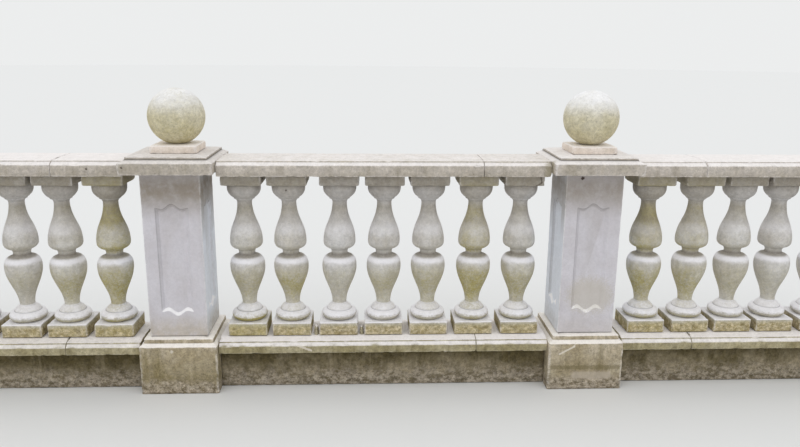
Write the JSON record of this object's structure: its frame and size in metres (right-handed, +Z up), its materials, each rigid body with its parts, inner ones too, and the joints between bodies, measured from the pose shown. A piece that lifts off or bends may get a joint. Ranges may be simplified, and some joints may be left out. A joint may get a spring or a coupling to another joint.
{
  "type": "stone balustrade",
  "caption": "Cast stone balustrade with double vase balusters between rails and square panelled piers with ball finials.",
  "frame": {"origin": "on the ground, centre of the run's length and thickness", "axes": "+X along the run, +Y from the front face to the back, +Z up"},
  "size_m": [6.106, 0.406, 1.397],
  "materials": {
    "die_stone": "smooth pale cast stone",
    "rail_stone": "weathered pale cast stone",
    "base_rail_stone": "cast stone with lichen",
    "pier_base_stone": "cast stone stained by lichen and splashed soil",
    "plinth_stone": "damp cast stone darkened by algae",
    "baluster_stone": "cast stone with yellow green lichen",
    "finial_base_stone": "pink cream cast stone",
    "ball_stone": "speckled weathered cast stone"
  },
  "bodies": {
    "root": {"pier_1_base": "pier_base_stone", "pier_1_die": "die_stone", "pier_1_cap": "rail_stone", "pier_1_ball_base": "finial_base_stone", "pier_1_ball": "ball_stone", "pier_2_base": "pier_base_stone", "pier_2_die": "die_stone", "pier_2_cap": "rail_stone", "pier_2_ball_base": "finial_base_stone", "pier_2_ball": "ball_stone", "pier_3_base": "pier_base_stone", "pier_3_die": "die_stone", "pier_3_cap": "rail_stone", "pier_3_ball_base": "finial_base_stone", "pier_3_ball": "ball_stone", "pier_4_base": "pier_base_stone", "pier_4_die": "die_stone", "pier_4_cap": "rail_stone", "pier_4_ball_base": "finial_base_stone", "pier_4_ball": "ball_stone", "bay_1_plinth_wall": "plinth_stone", "bay_1_base_rail_long": "base_rail_stone", "bay_1_base_rail_short": "base_rail_stone", "bay_1_top_rail_long": "rail_stone", "bay_1_top_rail_short": "rail_stone", "bay_1_baluster_1": "baluster_stone", "bay_1_baluster_2": "baluster_stone", "bay_1_baluster_3": "baluster_stone", "bay_1_baluster_4": "baluster_stone", "bay_1_baluster_5": "baluster_stone", "bay_1_baluster_6": "baluster_stone", "bay_1_baluster_7": "baluster_stone", "bay_2_plinth_wall": "plinth_stone", "bay_2_base_rail_long": "base_rail_stone", "bay_2_base_rail_short": "base_rail_stone", "bay_2_top_rail_long": "rail_stone", "bay_2_top_rail_short": "rail_stone", "bay_2_baluster_1": "baluster_stone", "bay_2_baluster_2": "baluster_stone", "bay_2_baluster_3": "baluster_stone", "bay_2_baluster_4": "baluster_stone", "bay_2_baluster_5": "baluster_stone", "bay_2_baluster_6": "baluster_stone", "bay_2_baluster_7": "baluster_stone", "bay_3_plinth_wall": "plinth_stone", "bay_3_base_rail_long": "base_rail_stone", "bay_3_base_rail_short": "base_rail_stone", "bay_3_top_rail_long": "rail_stone", "bay_3_top_rail_short": "rail_stone", "bay_3_baluster_1": "baluster_stone", "bay_3_baluster_2": "baluster_stone", "bay_3_baluster_3": "baluster_stone", "bay_3_baluster_4": "baluster_stone", "bay_3_baluster_5": "baluster_stone", "bay_3_baluster_6": "baluster_stone", "bay_3_baluster_7": "baluster_stone"}
  },
  "joints": []
}
